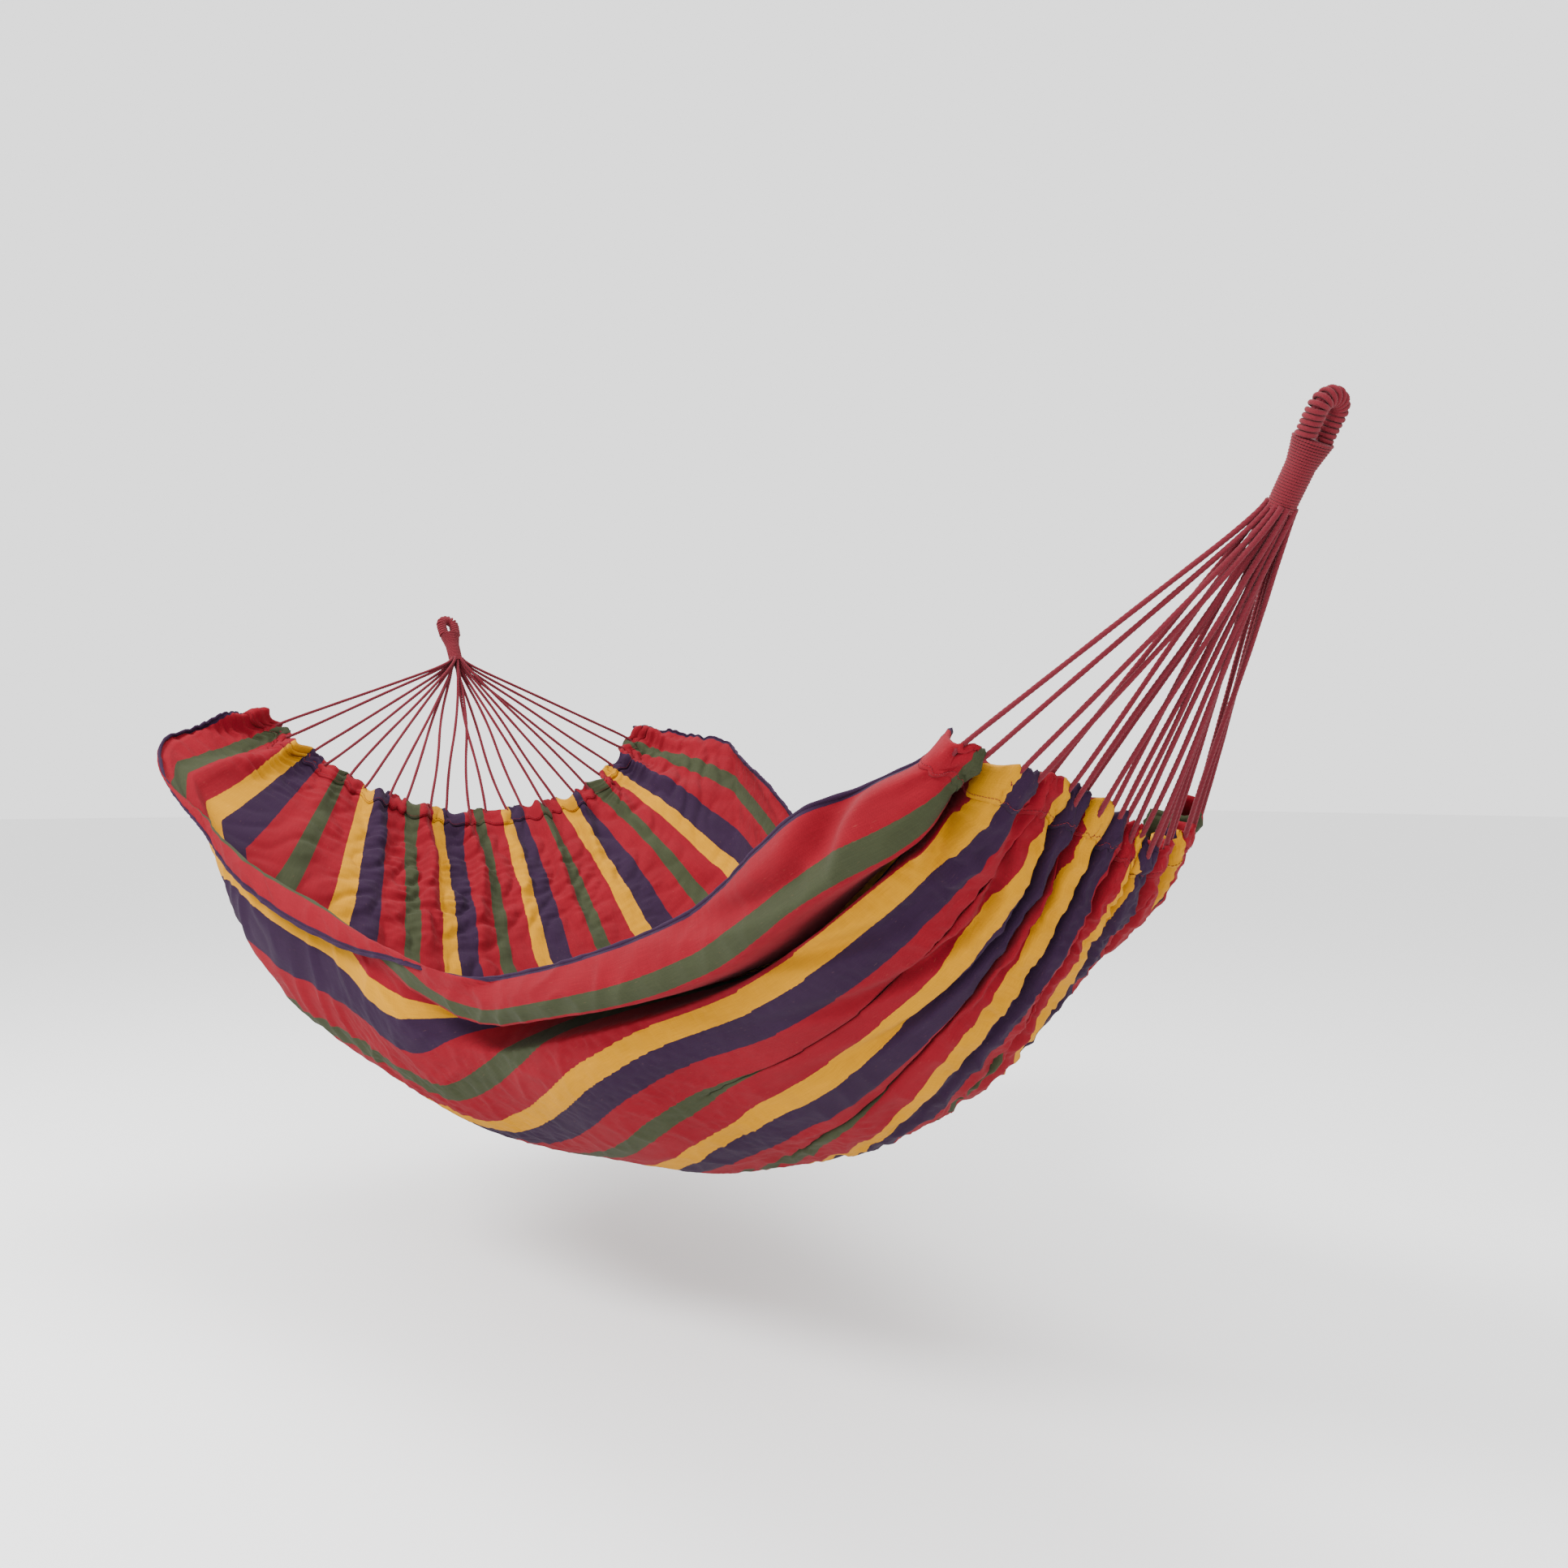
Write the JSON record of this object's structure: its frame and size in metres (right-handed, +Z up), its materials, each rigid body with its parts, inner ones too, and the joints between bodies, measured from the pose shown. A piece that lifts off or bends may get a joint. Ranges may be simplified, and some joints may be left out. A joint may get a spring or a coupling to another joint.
{
  "type": "rope-hung cloth hammock",
  "caption": "Long woven cloth bed gathered at both ends on a fan of cords that meet in a whipped rope eye, with rolled side hems and folded end hems.",
  "frame": {"origin": "point where a hook bears in the far eye, at the top of the inside of its loop", "axes": "+X along the hammock from the far eye to the near eye, +Z up as hung, -Y the front edge of the cloth"},
  "size_m": [2.61, 1.3714, 1.1099],
  "materials": {
    "cloth": "matt striped cotton canvas",
    "side_hem": "matt cotton",
    "cord": "matt twisted cotton"
  },
  "bodies": {
    "eyes": {"far_eye_core": "cord", "far_eye_whipping": "cord", "near_eye_core": "cord", "near_eye_whipping": "cord"},
    "bed": {"bed_cloth": "cloth", "front_side_hem": "side_hem", "back_side_hem": "side_hem", "far_end_hem": "cloth", "near_end_hem": "cloth", "far_neck_core": "cord", "far_neck_whipping": "cord", "near_neck_core": "cord", "near_neck_whipping": "cord", "far_cord_loop_01": "cord", "far_cord_loop_02": "cord", "far_cord_loop_03": "cord", "far_cord_loop_04": "cord", "far_cord_loop_05": "cord", "far_cord_loop_06": "cord", "far_cord_loop_07": "cord", "far_cord_loop_08": "cord", "far_cord_loop_09": "cord", "far_cord_loop_10": "cord", "far_cord_loop_11": "cord", "near_cord_loop_01": "cord", "near_cord_loop_02": "cord", "near_cord_loop_03": "cord", "near_cord_loop_04": "cord", "near_cord_loop_05": "cord", "near_cord_loop_06": "cord", "near_cord_loop_07": "cord", "near_cord_loop_08": "cord", "near_cord_loop_09": "cord", "near_cord_loop_10": "cord", "near_cord_loop_11": "cord"}
  },
  "joints": [
    {"name": "swing", "type": "hinge", "parent": "eyes", "child": "bed", "pos_m": [0.03715, 0, -0.05945], "axis": [1, 0, 0], "range_deg": [-35, 35]}
  ]
}
